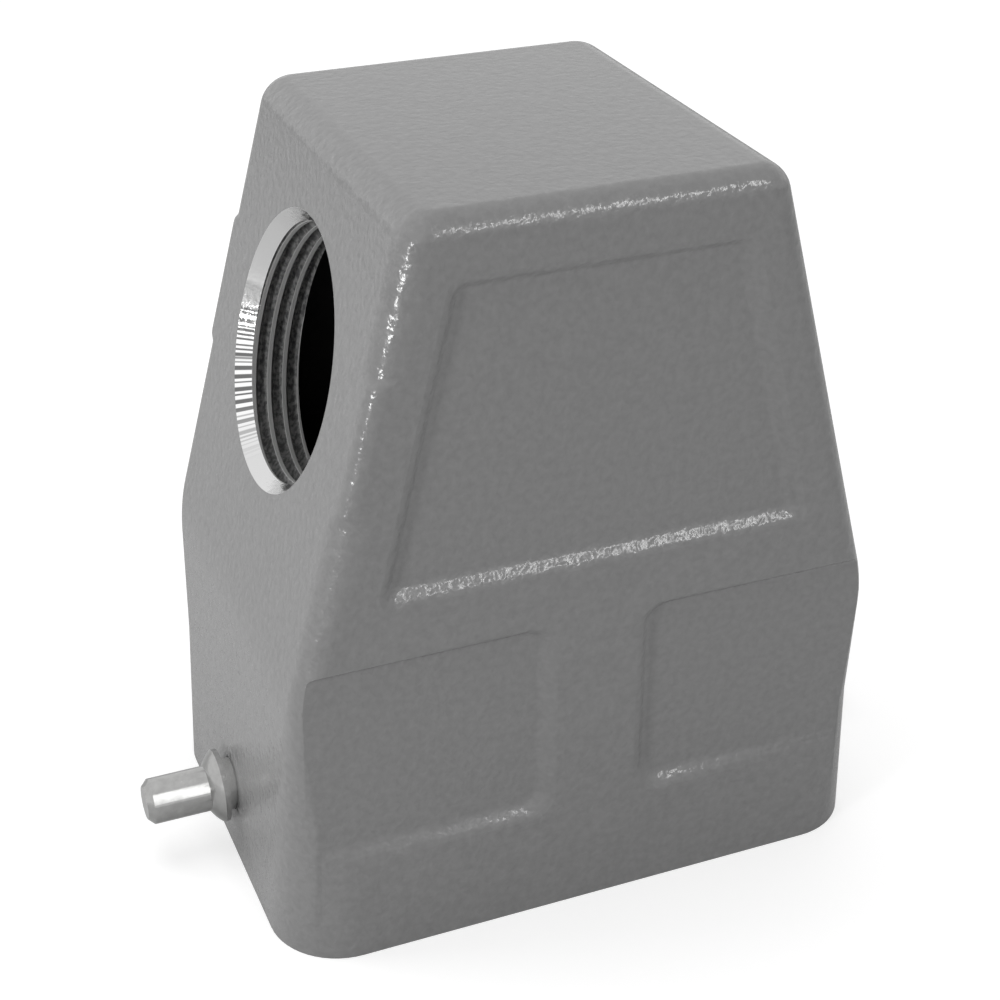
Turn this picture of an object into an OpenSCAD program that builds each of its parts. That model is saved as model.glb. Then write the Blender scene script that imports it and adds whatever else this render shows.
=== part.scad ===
// Heavy duty rectangular connector: a die-cast hood with a side cable entry and two
// locking pegs, holding a six pole screw terminal insert with earth contacts.
// Millimetres. Z is up, the rim stands on z = 0, X runs along the connector and the
// cable entry is on the -X end.

/* [Hood shell] */
// Length of the rim
rim_l = 60; // [57:0.5:66]
// Width of the rim
rim_w = 42; // [40:0.5:48]
// Height of the hood above its rim
hood_h = 71; // [68:0.5:84]
// Corner radius at the rim
rim_r = 6.9; // [5:0.1:8]
// Height up to which the corners keep most of their radius
base_z = 15; // [12:0.5:18]
// Corner radius at that height
base_r = 5.8; // [4:0.1:7]
// Height of the belt, where the end faces start to slope
belt_z = 28; // [26:0.5:32]
// How far each end face leans in from the rim to the belt
belt_in = 1.7; // [1:0.1:2.5]
// Corner radius at the belt
belt_r = 2.9; // [2.6:0.1:4]
// Corner radius along the sloping edges above the belt
slope_r = 2.7; // [2:0.1:3.4]
// Length of the top face, edge to edge before rounding
top_l = 33.7; // [30:0.5:38]
// How much narrower the top is than the rim
top_draft = 0.7; // [0:0.1:1.5]
// Radius along the edges of the top face
top_r = 2.2; // [1.5:0.1:3]
// Thickness of the side walls and of the sloping end walls
wall = 2.6; // [2:0.1:3]
// Thickness of the roof
roof_t = 3; // [2:0.2:4]
// Corner radius of the mouth, seen from below
mouth_r = 2.4; // [1.5:0.1:3]
// Corner radius inside the roof
cavity_r = 1.5; // [1:0.1:2]
// Radius of the posts that carry the threads of the fixing screws
post_r = 4; // [3.4:0.1:4.4]
// Height of those posts above the insert's seat
post_h = 15; // [13:0.5:17]

/* [Side panels] */
// Depth of the recessed panels in the long sides
panel_depth = 0.9; // [0.5:0.1:1.2]
// Width of the sloping ledge along the lower edge of a panel
panel_ledge = 1.2; // [0.8:0.1:1.6]
// Width of the step along the upper edge of a panel
panel_step = 0.6; // [0.4:0.1:1]
// Width of the sloping wall at the side of a panel
panel_side = 1; // [0.6:0.1:1.4]
// Height of the lower edge of the two lower panels
low_panel_z = 11; // [9:0.5:13]
// Height of each lower panel
low_panel_h = 20.6; // [18:0.2:21]
// Width of the post left between the two lower panels
post_w = 8.5; // [6:0.5:12]
// Corner radius of the lower panels
low_panel_r = 1.8; // [1:0.1:3]
// Height of the band between the lower panels and the upper panel
band_h = 5.6; // [4:0.2:7]
// Height of the upper panel
up_panel_h = 28.3; // [25:0.5:30]
// Half width of the upper panel along its lower edge
up_panel_foot = 20.3; // [18:0.1:21]
// Half width of the upper panel along its upper edge
up_panel_head = 13.4; // [11:0.1:14]
// Corner radius of the upper panel
up_panel_r = 0.8; // [0.4:0.1:2]

/* [Cable entry] */
// Height of the middle of the entry on the sloping end face
entry_z = 52.2; // [50:0.2:54]
// Radius of the entry at the crests of its thread
entry_r = 11.7; // [10:0.1:12]
// Radius of the lead-in chamfer at the end face
entry_mouth_r = 12.65; // [12.2:0.05:13]
// Depth of the lead-in chamfer
entry_chamfer = 1.2; // [0.6:0.1:1.6]
// Length of the entry along its axis, through the inner boss
entry_t = 6; // [4:0.5:9]
// Wall of the boss around the entry, inside the hood
entry_boss_t = 3.2; // [2:0.1:4]
// Corner radius where the end is squared up beside the entry
pad_r = 1.1; // [0.8:0.1:2]
// Half length of the squared stretch along the sloping edge
pad_half = 6.1; // [5:0.1:8]
// How far the middle of that stretch lies below the middle of the entry
pad_drop = 0.4; // [0:0.1:1]
// Length of the ramp at each end of that stretch
pad_ramp = 0.6; // [0.4:0.1:1]

/* [Locking pegs] */
// Height of the pegs above the rim
peg_z = 6.85; // [5.5:0.05:9]
// Radius of the part that the locking lever hooks over
peg_r = 2.25; // [1.8:0.05:2.6]
// Distance from the end face to the tip of a peg
peg_out = 8.6; // [7:0.1:11]
// Chamfer at the tip
peg_chamfer = 0.6; // [0.3:0.1:1]
// Radius of the collar
collar_r = 3.6; // [3.2:0.1:4.2]
// Gap between the collar and the end face
collar_gap = 0.9; // [0.5:0.1:1.4]
// Thickness of the collar's rim
collar_rim = 0.5; // [0.3:0.1:0.8]
// Length of the dome from the collar's rim down to the shank
collar_dome = 1.1; // [0.8:0.1:1.6]
// Radius of the stem pressed into the wall and of the neck behind the collar
stem_r = 2.6; // [2.3:0.1:2.9]
// Thickness of the riveted end inside the wall
rivet_t = 0.8; // [0.5:0.1:1.2]
// How far the riveted end stands out around the stem
rivet_lip = 0.7; // [0.4:0.1:1]

/* [Insert] */
// Height of the seat for the insert's end plates
seat_z = 20; // [19:0.5:22]
// Gap between the insert and the end walls
insert_gap_x = 0.3; // [0.2:0.1:0.8]
// Gap between the insert and the side walls
insert_gap_y = 1.2; // [0.8:0.1:2]
// Distance from the insert's ends to the fixing screws
fix_inset_x = 3.4; // [3:0.1:3.8]
// Distance from the insert's sides to the fixing screws
fix_inset_y = 3.7; // [3.4:0.1:4.2]
// Thickness of the end plates
plate_t = 2; // [1.4:0.1:2.4]
// Distance from the rim up to the edge of the insert's shroud
shroud_z = 3; // [2:0.5:6]
// Wall of the shroud around the pins
shroud_t = 1.8; // [1.4:0.1:2.4]
// Thickness of the insert's floor, where the contacts are seated
floor_t = 5.5; // [4.5:0.5:6.5]
// Height of the terminal block above the seat
block_h = 13; // [12:0.5:16]
// Distance from the insert's sides to the terminal block
block_inset = 2; // [1.5:0.1:2.5]
// Distance from the insert's sides to the slab under the terminal block
slab_inset = 0.5; // [0.3:0.1:1]
// Gap between the slab and the heads of the fixing screws
head_gap = 1.3; // [1:0.1:1.8]
// Length of the arms beyond the terminal block
arm_l = 1.8; // [1.2:0.1:2.4]
// Clearance between the insert and the posts
post_gap = 0.6; // [0.3:0.1:1]
// Distance from a row of pins to the outside of the shroud
shroud_reach = 5.6; // [5:0.1:6]
// Corner radius of the shroud
shroud_r = 1.5; // [1:0.1:2]
// Corner radius inside the shroud
shroud_inner_r = 1; // [0.5:0.1:1.5]
// How far the insert's floor stands above the seat
floor_rise = 2; // [1.5:0.1:2.5]
// Distance between neighbouring contacts of a row
pitch_x = 11; // [10:0.2:11.4]
// Distance from the middle to each row of pins
row_y = 6; // [5.4:0.1:6.6]

/* [Contacts] */
// Radius of a contact pin
pin_r = 1.25; // [1:0.05:1.4]
// Length of a pin below the insert's floor
pin_l = 11; // [9:0.5:12]
// Rounding of a pin's tip
pin_tip_r = 0.9; // [0.5:0.1:0.9]
// Radius of a contact's neck in the floor
neck_r = 1.8; // [1.6:0.1:2.2]
// Size of a terminal along X
term_x = 6.2; // [5.6:0.1:6.6]
// Size of a terminal along Y
term_y = 7.2; // [6.8:0.1:7.6]
// Height of a terminal
term_z = 9.5; // [9:0.1:10.5]
// Radius of a wire hole
wire_r = 1.8; // [1.6:0.05:2]
// Depth of a wire hole
wire_depth = 7.5; // [6.5:0.1:8]
// How far a terminal is set outwards from its pin
term_shift = 1.5; // [1:0.1:1.8]
// Distance from the middle of a wire hole back to the middle of its terminal
wire_offset = 0.5; // [0.2:0.1:0.8]
// Height of the clamping screw above the terminal's foot
clamp_h = 5; // [4.5:0.1:5.5]
// Clearance around a terminal in its chamber
chamber_gap = 0.05; // [0.03:0.01:0.2]
// Thickness of a wire guard
guard_t = 0.3; // [0.2:0.05:0.4]
// Width of a wire guard
guard_w = 1.6; // [1.2:0.1:2]
// Length of a wire guard's folded top
guard_flap = 2.2; // [1.6:0.1:2.4]
// Height of a wire guard's foot above the bottom of the wire hole
guard_lift = 0.8; // [0.5:0.1:1.5]

/* [Screws] */
// Radius of the fixing screws
fix_r = 1.95; // [1.8:0.01:2]
// Length of a fixing screw's shank
fix_l = 14; // [10:0.5:15]
// Radius of a fixing screw's head
fix_head_r = 3.5; // [3.2:0.1:3.8]
// Height of a fixing screw's head
fix_head_h = 2.6; // [2:0.1:3]
// Radius of the terminal screws
clamp_r = 1.45; // [1.2:0.05:1.5]
// Radius of a terminal screw's head
clamp_head_r = 2.5; // [2.2:0.1:2.7]
// Height of a terminal screw's head
clamp_head_h = 2; // [1.6:0.1:2.4]
// Radius of the earth screws
earth_r = 1.95; // [1.7:0.05:2]
// Length of an earth screw's shank
earth_l = 8; // [6:0.5:8.5]
// Radius of an earth screw's head
earth_head_r = 2.7; // [2.4:0.1:3]
// Height of an earth screw's head
earth_head_h = 2; // [1.6:0.1:2.4]
// Height of the earth screws above the seat
earth_h = 6; // [5:0.5:7]
// Thickness of the earth lug and of the earth tongue
lug_t = 1.2; // [1:0.1:1.5]
// Width of the earth lug
lug_w = 9; // [8:0.5:10]
// Height of the earth lug above the end plate
lug_h = 10.5; // [9:0.5:12]
// Width of the earth tongue beside the pins
tongue_w = 8; // [6:0.5:9]
// How far the tongue stays back from the shroud's edge
tongue_back = 2; // [1:0.5:4]
// Thickness of the saddle on the earth wire
saddle_t = 1; // [0.8:0.1:1.2]
// Width of the saddle
saddle_w = 8; // [7:0.5:8.5]
// Height of the saddle
saddle_h = 7; // [6:0.5:7.5]
// Length of the saddle's bent lips
saddle_lip = 1.2; // [0.8:0.1:1.6]
// Corner radius of the end plates
plate_r = 2; // [1:0.1:2.5]
// Chamfer around every screw head
head_chamfer = 0.3; // [0.1:0.1:0.5]
// Width of the slot in every screw head
slot_w = 0.8; // [0.6:0.1:1]
// Depth of the slot in every screw head
slot_depth = 1.1; // [0.8:0.1:1.2]
// Radial clearance of screws in their tapped holes
screw_gap = 0.05; // [0.03:0.01:0.1]
// Radial clearance of screws where they pass through without a thread
pass_gap = 0.2; // [0.15:0.05:0.4]
// Room left beyond the tip of a fixing screw
tip_room = 1; // [0.5:0.1:1.5]

/* [Hidden] */
$fn = 48;
arc_steps = 10;
eps = 0.01;
// How far every cutter runs past what it cuts
past = 1;

// Outside of the shell
belt_l = rim_l - 2 * belt_in;
belt_soft = 1;
slope_start = belt_z + 3 * belt_soft;
end_slope = atan((belt_l - top_l) / 2 / (hood_h - belt_z));
side_draft = atan(top_draft / 2 / (hood_h - belt_z));

function length_at(z) = rim_l + (belt_l - rim_l) * z / belt_z;
function end_x(z) = z < belt_z ? length_at(z) / 2 : belt_l / 2 - (z - belt_z) * tan(end_slope);
function width_at(z) = z < belt_z ? rim_w : rim_w - top_draft * (z - belt_z) / (hood_h - belt_z);

// Ends of the squared stretch beside the entry
pad_z = entry_z - pad_drop;
pad_low = pad_z - pad_half * cos(end_slope);
pad_high = pad_z + pad_half * cos(end_slope);

// Inside of the shell
mouth_l = belt_l - 2 * wall;
mouth_w = rim_w - 2 * wall;
roof_z = hood_h - roof_t;

insert_l = mouth_l - 2 * insert_gap_x;
insert_w = mouth_w - 2 * insert_gap_y;
fix_x = insert_l / 2 - fix_inset_x;
fix_y = insert_w / 2 - fix_inset_y;
fix_hole_r = fix_r + screw_gap;

// Corner posts run into the walls but stay inside the outer faces
post_x = fix_x - post_r;
post_y = fix_y - post_r;
post_top = seat_z + post_h;
post_end = end_x(post_top) - wall / 6;
post_side = mouth_w / 2 + wall / 4;
tap_top = seat_z - plate_t + fix_l + tip_room;

// The terminal block clears the posts, and the slab below the seat clears the heads
block_x = post_x - post_gap;
block_y = insert_w / 2 - block_inset;
arm_x = block_x + arm_l;
arm_y = post_y - post_gap;
slab_x = fix_x - fix_head_r - head_gap;
slab_w = insert_w - 2 * slab_inset;
plate_z = seat_z - plate_t;
shroud_y = row_y + shroud_reach;
chamber_z = seat_z + floor_rise;
floor_z = chamber_z - floor_t;
term_cy = row_y + term_shift;
wire_cy = term_cy - wire_offset;
clamp_z = chamber_z + clamp_h;
term_top = chamber_z + term_z;
access_r = clamp_head_r + pass_gap;

// The wire guard spans a chord of the wire hole, between the screw's tip and the wire
guard_y = wire_cy + sqrt(wire_r * wire_r - guard_w * guard_w / 4) - eps;
guard_foot = term_top - wire_depth + guard_lift;

// The earth lug stands against the block's arm, with its screw pointing inwards
lug_x = arm_x;
earth_z = seat_z + earth_h;
tongue_z = shroud_z + tongue_back;
earth_head_x = lug_x + lug_t + saddle_t;

// ---------- small helpers ----------

// Flat outline of a rectangle with rounded corners
module rounded_plan(l, w, r) {
  square([l, w - 2 * r], center = true);
  square([l - 2 * r, w], center = true);
  for (x = [r - l / 2, l / 2 - r], y = [r - w / 2, w / 2 - r])
    translate([x, y]) circle(r = r);
}

// One level of a loft: a rounded rectangle as points, anticlockwise from above.
// The two corners on the entry side can have a radius of their own.
function ring(z, l, w, r, entry_side_r = undef) = [
  for (corner = [0:3], i = [0:arc_steps])
    let (
      a = 90 * (corner + i / arc_steps),
      side_x = corner == 0 || corner == 3 ? 1 : -1,
      side_y = corner < 2 ? 1 : -1,
      own_r = side_x > 0 || is_undef(entry_side_r) ? r : entry_side_r
    )
      [
        side_x * (l / 2 - own_r) + own_r * cos(a),
        side_y * (w / 2 - own_r) + own_r * sin(a),
        z
      ]
];

// Solid through a list of rings, from the lowest to the highest
module loft(rings) {
  n = len(rings[0]);
  top = n * (len(rings) - 1);
  polyhedron(
    points = [for (level = rings) each level],
    faces = [
      [for (i = [0:n - 1]) i],
      [for (i = [n - 1:-1:0]) top + i],
      for (k = [0:len(rings) - 2], i = [0:n - 1])
        let (a = k * n + i, b = k * n + (i + 1) % n) [a, a + n, b + n, b]
    ]
  );
}

// Frame of the cable entry: +Z points out of the hood along the entry's axis
module on_entry() {
  translate([-end_x(entry_z), 0, entry_z]) rotate([0, -90 + end_slope, 0]) children();
}

// Places children at all four fixing screws
module at_fixings() {
  for (sx = [-1, 1], sy = [-1, 1]) translate([sx * fix_x, sy * fix_y, 0]) children();
}

// Runs a child once for each end of the connector, turned by half a turn
module both_ends() {
  for (a = [0, 180]) rotate([0, 0, a]) children();
}

// ---------- hood ----------

// Ring of the shell's outside at one height
function shell_ring(z, r, entry_side_r = undef) =
  ring(z, 2 * end_x(z), width_at(z), r, entry_side_r);

// The corners tighten from the rim to the belt and are squared up beside the entry.
// Above them the top rounds over.
module hood_outside() {
  before_belt = belt_z - belt_soft;
  share = (before_belt - base_z) / (belt_z - base_z);
  loft([
    shell_ring(0, rim_r),
    shell_ring(base_z, base_r),
    shell_ring(before_belt, base_r + (belt_r - base_r) * share),
    shell_ring(belt_z + belt_soft, belt_r),
    shell_ring(slope_start, slope_r),
    shell_ring(pad_low - pad_ramp, slope_r),
    shell_ring(pad_low, slope_r, pad_r),
    shell_ring(pad_high, slope_r, pad_r),
    shell_ring(pad_high + pad_ramp, slope_r),
    for (i = [0:arc_steps])
      let (
        a = 90 * i / arc_steps,
        z = hood_h - top_r * (1 - sin(a)),
        inset = top_r * (1 - cos(a))
      )
        ring(z, 2 * (end_x(z) - inset), width_at(z) - 2 * inset, max(slope_r - inset, 0.3))
  ]);
}

module hood_cavity() {
  roof_l = 2 * (end_x(roof_z) - wall / cos(end_slope));
  roof_w = width_at(roof_z) - 2 * wall;
  loft([
    ring(-past, mouth_l, mouth_w, mouth_r),
    ring(belt_z, mouth_l, mouth_w, mouth_r),
    ring(
      roof_z - cavity_r, roof_l + 2 * cavity_r * tan(end_slope),
      roof_w, cavity_r
    ),
    ring(roof_z, roof_l - cavity_r, roof_w - cavity_r, cavity_r)
  ]);
}

// Pocket with sloping walls, cut from y = 0 to y = depth, wider by its slope at the front
module sloping_pocket(pivot, shrink) {
  grow = 1 + shrink.x * past / panel_depth;
  grow_z = 1 + shrink.y * past / panel_depth;
  translate([pivot.x, -past, pivot.y]) rotate([-90, 0, 0]) mirror([0, 1, 0])
    linear_extrude(
      past + panel_depth,
      scale = [(1 - shrink.x) / grow, (1 - shrink.y) / grow_z],
      slices = 1
    )
      scale([grow, grow_z]) translate([-pivot.x, -pivot.y]) children();
}

module upper_panel() {
  z0 = low_panel_z + low_panel_h + band_h;
  share = panel_ledge / (panel_ledge + panel_step);
  pivot = [0, z0 + up_panel_h * share];
  shrink = [2 * panel_side / (up_panel_foot + up_panel_head), panel_ledge / (up_panel_h * share)];
  translate([0, -width_at(z0) / 2, z0]) rotate([-side_draft, 0, 0]) translate([0, 0, -z0])
    sloping_pocket(pivot, shrink)
      offset(r = up_panel_r, $fn = 16) offset(delta = -up_panel_r)
        polygon([
          [-up_panel_foot, z0], [up_panel_foot, z0],
          [up_panel_head, z0 + up_panel_h], [-up_panel_head, z0 + up_panel_h]
        ]);
}

module lower_panel() {
  share = panel_ledge / (panel_ledge + panel_step);
  beyond_end = rim_l / 2 + low_panel_r + past;
  run = beyond_end - post_w / 2;
  pivot = [beyond_end, low_panel_z + low_panel_h * share];
  shrink = [panel_side / run, panel_ledge / (low_panel_h * share)];
  translate([0, -rim_w / 2, 0])
    sloping_pocket(pivot, shrink)
      offset(r = low_panel_r, $fn = 16) offset(delta = -low_panel_r)
        translate([post_w / 2, low_panel_z]) square([run + 2 * low_panel_r, low_panel_h]);
}

module corner_posts() {
  for (a = [0, 1], b = [0, 1]) mirror([a, 0, 0]) mirror([0, b, 0])
    translate([0, 0, seat_z]) linear_extrude(post_top - seat_z) {
      translate([fix_x, fix_y]) circle(r = post_r);
      translate([post_x, fix_y]) square([post_end - post_x, post_side - fix_y]);
      translate([fix_x, post_y]) square([post_end - fix_x, post_side - post_y]);
    }
}

module hood() {
  color([0.44, 0.45, 0.45])
  difference() {
    union() {
      difference() {
        hood_outside();
        hood_cavity();
      }
      corner_posts();
      on_entry() translate([0, 0, -entry_t])
        cylinder(r = entry_r + entry_boss_t, h = entry_t - wall / 2);
    }
    for (side = [0, 1]) mirror([0, side, 0]) {
      upper_panel();
      lower_panel();
      mirror([1, 0, 0]) lower_panel();
    }
    on_entry() {
      translate([0, 0, -entry_t - past]) cylinder(r = entry_r, h = entry_t + 2 * past);
      translate([0, 0, -entry_chamfer])
        cylinder(r1 = entry_r, r2 = entry_mouth_r, h = entry_chamfer + eps);
    }
    at_fixings() translate([0, 0, seat_z - past])
      cylinder(r = fix_hole_r, h = tap_top - seat_z + past);
    translate([-rim_l, 0, peg_z]) rotate([0, 90, 0]) cylinder(r = stem_r + screw_gap, h = 2 * rim_l);
  }
}

// ---------- locking pegs ----------

// One turned piece: riveted end, stem, neck, domed collar, shank and chamfered tip.
// It stands on the -X end. The profile runs along the peg's axis, outwards.
module peg() {
  inner = mouth_l / 2;
  collar_at = end_x(peg_z) + collar_gap;
  tip_at = end_x(peg_z) + peg_out;
  // the dome is a spherical cap from the collar's rim down to the shank
  centre = ((collar_r * collar_r - peg_r * peg_r) / collar_dome - collar_dome) / 2;
  dome_r = sqrt(collar_r * collar_r + centre * centre);
  color([0.74, 0.72, 0.68])
  translate([0, 0, peg_z]) rotate([0, -90, 0]) rotate_extrude() {
    polygon([
      [0, inner - rivet_t], [stem_r, inner - rivet_t], [stem_r + rivet_lip, inner],
      [stem_r, inner], [stem_r, collar_at + eps], [0, collar_at + eps]
    ]);
    translate([0, collar_at]) intersection() {
      square([collar_r, collar_rim + collar_dome]);
      translate([0, collar_rim - centre]) circle(r = dome_r, $fn = 96);
    }
    polygon([
      [0, collar_at], [peg_r, collar_at], [peg_r, tip_at - peg_chamfer],
      [peg_r - peg_chamfer, tip_at], [0, tip_at]
    ]);
  }
}

// ---------- insert ----------

// Places children at each of the six contacts, turned so that +Y points outwards
module at_contact(i) {
  column = i % 3 - 1;
  translate([column * pitch_x, 0, 0]) mirror([0, i < 3 ? 1 : 0, 0]) children();
}

module insert_body() {
  color([0.1, 0.1, 0.11])
  difference() {
    union() {
      translate([0, 0, shroud_z]) linear_extrude(floor_z - shroud_z + eps)
        rounded_plan(2 * slab_x, 2 * shroud_y, shroud_r);
      translate([0, 0, floor_z]) linear_extrude(seat_z - floor_z)
        rounded_plan(2 * slab_x, slab_w, shroud_r);
      translate([0, 0, seat_z]) linear_extrude(block_h) {
        square([2 * block_x, 2 * block_y], center = true);
        square([2 * arm_x, 2 * arm_y], center = true);
      }
    }
    translate([0, 0, shroud_z - past]) linear_extrude(floor_z - shroud_z + past)
      rounded_plan(2 * (slab_x - shroud_t), 2 * (shroud_y - shroud_t), shroud_inner_r);
    for (i = [0:5]) at_contact(i) {
      translate([0, row_y, floor_z - past])
        cylinder(r = neck_r + chamber_gap, h = floor_t + 2 * past);
      translate([-term_x / 2 - chamber_gap, term_cy - term_y / 2 - chamber_gap, chamber_z])
        cube([term_x + 2 * chamber_gap, term_y + 2 * chamber_gap, block_h]);
      translate([0, term_cy, clamp_z]) rotate([-90, 0, 0])
        cylinder(r = access_r, h = insert_w);
    }
    both_ends() translate([-arm_x - past, 0, earth_z]) rotate([0, 90, 0])
      cylinder(r = earth_r + pass_gap, h = earth_l);
  }
}

// Contact turned and milled from one bar: pin, neck and terminal
module contact(i) {
  tip_z = floor_z - pin_l;
  color([0.8, 0.78, 0.72])
  at_contact(i) difference() {
    union() {
      translate([0, row_y, tip_z]) rotate_extrude() {
        square([pin_r - pin_tip_r, pin_tip_r + eps]);
        translate([0, pin_tip_r]) square([pin_r, pin_l + floor_t - pin_tip_r]);
        translate([pin_r - pin_tip_r, pin_tip_r]) intersection() {
          circle(r = pin_tip_r);
          translate([0, -pin_tip_r]) square(pin_tip_r);
        }
      }
      translate([0, row_y, floor_z]) cylinder(r = neck_r, h = floor_t + past);
      translate([-term_x / 2, term_cy - term_y / 2, chamber_z]) cube([term_x, term_y, term_z]);
    }
    translate([0, wire_cy, term_top - wire_depth]) cylinder(r = wire_r, h = wire_depth + past);
    translate([0, wire_cy, clamp_z]) rotate([-90, 0, 0])
      cylinder(r = clamp_r + screw_gap, h = term_y);
  }
}

// Bent strip that lies between the wire and the tip of the terminal screw
module wire_guard(i) {
  color([0.72, 0.7, 0.62])
  at_contact(i) {
    translate([-guard_w / 2, guard_y - guard_t, guard_foot])
      cube([guard_w, guard_t, term_top + guard_t - guard_foot]);
    translate([-guard_w / 2, guard_y - guard_t, term_top]) cube([guard_w, guard_flap, guard_t]);
  }
}

// Cheese head screw, head up from z = 0, shank down, with a slot across the head
module slotted_screw(shank_r, shank_l, head_r, head_h) {
  difference() {
    union() {
      translate([0, 0, -shank_l]) cylinder(r = shank_r, h = shank_l);
      cylinder(r = head_r, h = head_h - head_chamfer);
      translate([0, 0, head_h - head_chamfer])
        cylinder(r1 = head_r, r2 = head_r - head_chamfer, h = head_chamfer);
    }
    translate([-head_r - past, -slot_w / 2, head_h - slot_depth])
      cube([2 * (head_r + past), slot_w, slot_depth + past]);
  }
}

module terminal_screws() {
  head_at = term_cy + term_y / 2;
  color([0.62, 0.63, 0.65])
  for (i = [0:5]) at_contact(i)
    translate([0, head_at, clamp_z]) rotate([-90, 0, 0])
      slotted_screw(clamp_r, head_at - guard_y, clamp_head_r, clamp_head_h);
}

// ---------- earth contacts and fixing screws, on the -X end ----------

module earth_plate() {
  color([0.7, 0.7, 0.72])
  difference() {
    union() {
      translate([-insert_l / 2, -insert_w / 2, plate_z])
        cube([insert_l / 2 - slab_x, insert_w, plate_t]);
      translate([-lug_x - lug_t, -lug_w / 2, plate_z]) cube([lug_t, lug_w, plate_t + lug_h]);
      translate([-lug_x - lug_t, -tongue_w / 2, tongue_z])
        cube([lug_t, tongue_w, plate_z - tongue_z + eps]);
    }
    at_fixings() translate([0, 0, plate_z - past])
      cylinder(r = fix_r + pass_gap, h = plate_t + 2 * past);
    translate([-lug_x - 2 * lug_t, 0, earth_z]) rotate([0, 90, 0])
      cylinder(r = earth_r + screw_gap, h = 3 * lug_t);
    for (side = [0, 1]) mirror([0, side, 0])
      translate([-insert_l / 2, insert_w / 2, plate_z - past]) difference() {
        translate([-past, -plate_r, 0])
          cube([past + plate_r, past + plate_r, plate_t + 2 * past]);
        translate([plate_r, -plate_r, -past]) cylinder(r = plate_r, h = plate_t + 4 * past);
      }
  }
}

// Saddle that presses the earth wire onto the lug
module earth_clamp() {
  color([0.68, 0.68, 0.7])
  difference() {
    union() {
      translate([-earth_head_x, -saddle_w / 2, earth_z - saddle_h / 2])
        cube([saddle_t, saddle_w, saddle_h]);
      for (y = [-saddle_w / 2, saddle_w / 2 - saddle_t])
        translate([-earth_head_x - saddle_lip, y, earth_z - saddle_h / 2])
          cube([saddle_lip + eps, saddle_t, saddle_h]);
    }
    translate([-earth_head_x - past, 0, earth_z]) rotate([0, 90, 0])
      cylinder(r = earth_r + screw_gap, h = saddle_t + 2 * past);
  }
}

module earth_screws() {
  color([0.62, 0.63, 0.65])
  both_ends() translate([-earth_head_x, 0, earth_z]) rotate([0, -90, 0])
    slotted_screw(earth_r, earth_l, earth_head_r, earth_head_h);
}

module fixing_screws() {
  color([0.62, 0.63, 0.65])
  at_fixings() translate([0, 0, plate_z]) rotate([180, 0, 0])
    slotted_screw(fix_r, fix_l, fix_head_r, fix_head_h);
}

module far_side() {
  rotate([0, 0, 180]) children();
}

hood();
peg();  // peg_entry_side
far_side() peg();  // peg_far_side
insert_body();
contact(0);  // contact_1
contact(1);  // contact_2
contact(2);  // contact_3
contact(3);  // contact_4
contact(4);  // contact_5
contact(5);  // contact_6
wire_guard(0);  // wire_guard_1
wire_guard(1);  // wire_guard_2
wire_guard(2);  // wire_guard_3
wire_guard(3);  // wire_guard_4
wire_guard(4);  // wire_guard_5
wire_guard(5);  // wire_guard_6
terminal_screws();
earth_plate();  // earth_plate_entry_side
far_side() earth_plate();  // earth_plate_far_side
earth_clamp();  // earth_clamp_entry_side
far_side() earth_clamp();  // earth_clamp_far_side
earth_screws();
fixing_screws();
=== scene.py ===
"""Heavy duty rectangular connector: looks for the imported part.

The die-cast hood is modelled again with soft edges, its cable entry gets a machined
chamfer and thread, and every node gets its own finish. Shapes are modelled in
millimetres and brought to metres when a piece is finished.
"""

import math

import bmesh
import bpy
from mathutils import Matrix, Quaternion, Vector


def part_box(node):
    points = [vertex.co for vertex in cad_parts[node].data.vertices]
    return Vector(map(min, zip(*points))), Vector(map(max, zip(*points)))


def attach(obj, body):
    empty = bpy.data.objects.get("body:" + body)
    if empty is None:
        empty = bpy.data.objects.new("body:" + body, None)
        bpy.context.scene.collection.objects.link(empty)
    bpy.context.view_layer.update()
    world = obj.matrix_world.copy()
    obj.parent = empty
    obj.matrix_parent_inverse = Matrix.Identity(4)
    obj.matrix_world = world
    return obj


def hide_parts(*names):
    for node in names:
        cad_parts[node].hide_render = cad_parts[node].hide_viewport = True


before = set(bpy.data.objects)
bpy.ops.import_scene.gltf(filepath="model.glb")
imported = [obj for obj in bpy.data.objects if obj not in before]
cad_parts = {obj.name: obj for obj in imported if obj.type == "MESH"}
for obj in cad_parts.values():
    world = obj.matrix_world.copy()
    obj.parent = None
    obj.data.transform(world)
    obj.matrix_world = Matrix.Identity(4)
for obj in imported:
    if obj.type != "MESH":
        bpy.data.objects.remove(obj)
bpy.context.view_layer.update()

MM = 0.001

# ---------- sizes of the hood, in millimetres ----------

HOOD_LOW, HOOD_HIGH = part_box("hood")

# outside: the corners tighten from the rim to the belt, and the ends slope above it
RIM_LENGTH = (HOOD_HIGH.x - HOOD_LOW.x) / MM
RIM_WIDTH = 42.0
RIM_RADIUS = 6.9
BASE_HEIGHT = 15.0
BASE_RADIUS = 5.8
BELT_HEIGHT = 28.0
BELT_LENGTH = 56.6
BELT_RADIUS = 2.9
BELT_SOFT = 2.4  # the bend at the belt is rounded this far down and up
SLOPE_RADIUS = 2.7
HEIGHT = (HOOD_HIGH.z - HOOD_LOW.z) / MM
TOP_LENGTH = 33.7
TOP_WIDTH = 41.3
TOP_RADIUS = 2.2
LEAST_RADIUS = 0.3
SLOPE = math.atan((BELT_LENGTH - TOP_LENGTH) / 2 / (HEIGHT - BELT_HEIGHT))
DRAFT = math.atan((RIM_WIDTH - TOP_WIDTH) / 2 / (HEIGHT - BELT_HEIGHT))

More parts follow.
